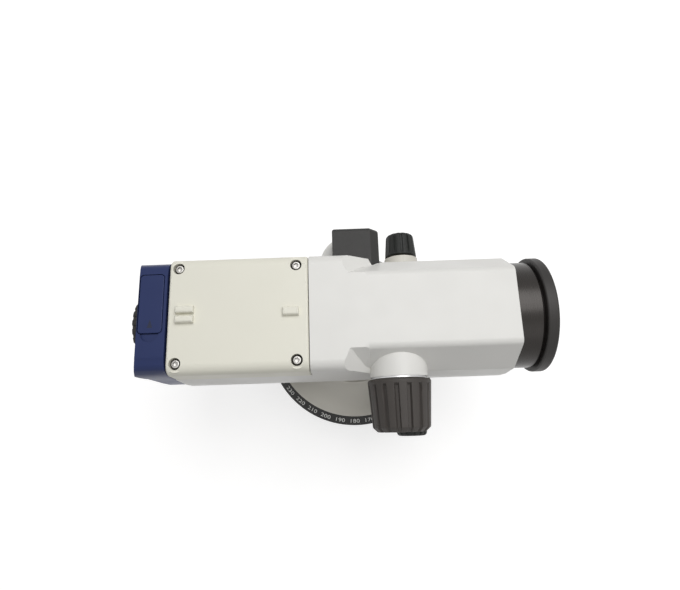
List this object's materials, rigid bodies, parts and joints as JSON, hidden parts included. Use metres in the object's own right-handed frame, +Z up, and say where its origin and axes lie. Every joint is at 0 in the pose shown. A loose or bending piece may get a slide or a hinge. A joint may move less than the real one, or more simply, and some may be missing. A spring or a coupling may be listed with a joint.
{
  "type": "automatic level",
  "caption": "Surveying level with a self-levelling compensator, geared focusing, circular bubble with viewer, slow-motion drive over a figured circle, and a levelling base.",
  "frame": {"origin": "on the vertical axis of the instrument, at the underside of the base plate, in the mouth of the tripod thread", "axes": "+X out of the objective along the line of sight, +Y towards the bubble side, +Z up"},
  "size_m": [0.215, 0.1256, 0.1365],
  "materials": {
    "cream_paint": "satin enamel, cream white",
    "white_paint": "satin enamel, light grey white",
    "blue_paint": "satin enamel, dark blue",
    "skirt_paint": "satin enamel, light grey",
    "tribrach_paint": "satin enamel, light grey",
    "dark_plastic": "fine grained, dark grey",
    "black_plastic": "fine grained, black",
    "circle_black": "satin black",
    "black_anodised": "satin black anodised",
    "rim_black": "satin black anodised",
    "steel": "turned and brushed",
    "spring_steel": "rolled",
    "brass": "turned",
    "aluminium": "turned",
    "rubber": "matt black",
    "optical_glass": "polished and coated",
    "mirror": "front silvered"
  },
  "bodies": {
    "base": {"base_plate": "tribrach_paint", "spring_plate": "spring_steel", "spring_plate_screws": "steel"},
    "tribrach": {"tribrach": "tribrach_paint", "foot_bushes": "brass", "axis_sleeve": "steel", "clutch_spring": "spring_steel", "clutch_nut": "brass"},
    "foot_screw_1": {"foot_screw_1": "steel", "foot_knob_1": "black_plastic"},
    "foot_screw_2": {"foot_screw_2": "steel", "foot_knob_2": "black_plastic"},
    "foot_lift_3": {"foot_screw_3": "steel"},
    "foot_turn_3": {"foot_knob_3": "black_plastic"},
    "horizontal_circle": {"horizontal_circle": "circle_black"},
    "clutch": {"worm_wheel": "brass"},
    "housing": {"main_housing": "white_paint", "lower_housing": "skirt_paint", "vertical_spindle": "steel", "spindle_nut": "steel", "spindle_screws": "steel", "worm_bushes": "brass", "compensator_cover": "cream_paint", "cover_screws": "steel", "rear_cap": "blue_paint", "objective_barrel": "black_anodised", "objective_rim": "rim_black", "objective_lenses": "optical_glass", "objective_retainer": "rim_black", "focus_guide_tube": "black_anodised", "focus_bush": "aluminium", "compensator_frame": "aluminium", "fixed_prisms": "optical_glass", "suspension_tapes": "spring_steel", "damping_magnets": "steel", "eyepiece_socket": "black_anodised", "reticle_mount": "brass", "reticle": "optical_glass", "reticle_screws": "steel", "vial_holder": "brass", "bubble_vial": "optical_glass", "vial_screws": "steel", "viewer_housing": "dark_plastic", "viewer_window": "optical_glass", "viewer_mirror": "mirror"},
    "fine_drive": {"worm_shaft": "steel", "fine_knob_left": "black_plastic", "fine_knob_right": "black_plastic"},
    "focus_drive": {"focus_pinion": "brass", "focus_knob": "dark_plastic"},
    "focus_cell": {"focus_cell": "black_anodised", "focus_rack": "brass", "focus_lens": "optical_glass"},
    "eyepiece_draw": {"eyepiece_cell": "black_anodised", "eyepiece_lenses": "optical_glass", "eyecup": "rubber"},
    "eyepiece_ring": {"eyepiece_ring": "rubber"},
    "pendulum": {"pendulum": "brass", "pendulum_prism": "optical_glass"},
    "hatch_door": {"hatch_door": "blue_paint"}
  },
  "joints": [
    {"name": "level_tilt", "type": "hinge", "parent": "base", "child": "tribrach", "pos_m": [-0.0205, 0, 0.008], "axis": [0, 1, 0], "range_deg": [-2, 2]},
    {"name": "foot_lift_3", "type": "slide", "parent": "tribrach", "child": "foot_lift_3", "axis": [0, 0, 1], "range_m": [-0.0021, 0.0021]},
    {"name": "foot_turn_3", "type": "hinge", "parent": "foot_lift_3", "child": "foot_turn_3", "pos_m": [0.041, 0, 0.02], "axis": [0, 0, 1], "range_deg": [-765, 765]},
    {"name": "foot_turn_1", "type": "hinge", "parent": "tribrach", "child": "foot_screw_1", "pos_m": [-0.0205, 0.03551, 0.02], "axis": [0, 0, 1], "range_deg": [-770, 770]},
    {"name": "foot_turn_2", "type": "hinge", "parent": "tribrach", "child": "foot_screw_2", "pos_m": [-0.0205, -0.03551, 0.02], "axis": [0, 0, 1], "range_deg": [-770, 770]},
    {"name": "circle_turn", "type": "hinge", "parent": "tribrach", "child": "horizontal_circle", "pos_m": [0, 0, 0.046], "axis": [0, 0, 1], "continuous": true},
    {"name": "azimuth_swing", "type": "hinge", "parent": "tribrach", "child": "clutch", "pos_m": [0, 0, 0.065], "axis": [0, 0, 1], "continuous": true},
    {"name": "fine_motion", "type": "hinge", "parent": "clutch", "child": "housing", "pos_m": [0, 0, 0.065], "axis": [0, 0, 1], "continuous": true},
    {"name": "fine_knob_turn", "type": "hinge", "parent": "housing", "child": "fine_drive", "pos_m": [0.032, 0, 0.065], "axis": [0, 1, 0], "continuous": true},
    {"name": "focus_turn", "type": "hinge", "parent": "housing", "child": "focus_drive", "pos_m": [0.0209, -0.03, 0.115], "axis": [0, 1, 0], "range_deg": [-157.5, 157.5]},
    {"name": "focus_slide", "type": "slide", "parent": "housing", "child": "focus_cell", "axis": [1, 0, 0], "range_m": [-0.0111, 0.0111]},
    {"name": "eyepiece_draw", "type": "slide", "parent": "housing", "child": "eyepiece_draw", "axis": [1, 0, 0], "range_m": [-0.0016, 0.0016]},
    {"name": "eyepiece_turn", "type": "hinge", "parent": "eyepiece_draw", "child": "eyepiece_ring", "pos_m": [-0.112, 0, 0.104], "axis": [1, 0, 0], "range_deg": [-67.5, 67.5]},
    {"name": "pendulum_swing", "type": "hinge", "parent": "housing", "child": "pendulum", "pos_m": [-0.056, 0, 0.119], "axis": [0, 1, 0], "range_deg": [-0.25, 0.25]},
    {"name": "hatch_swing", "type": "hinge", "parent": "housing", "child": "hatch_door", "pos_m": [-0.101, 0.0212, 0.1339], "axis": [-1, 0, 0], "range_deg": [0, 80]}
  ],
  "couplings": [
    {"joint": "level_tilt", "follows": "foot_lift_3", "rad_per_m": 16.26},
    {"joint": "foot_turn_3", "follows": "foot_lift_3", "rad_per_m": 6283.2},
    {"joint": "fine_knob_turn", "follows": "fine_motion", "ratio": 72},
    {"joint": "focus_slide", "follows": "focus_turn", "m_per_rad": -0.004},
    {"joint": "eyepiece_draw", "follows": "eyepiece_turn", "m_per_rad": 0.0012732}
  ]
}
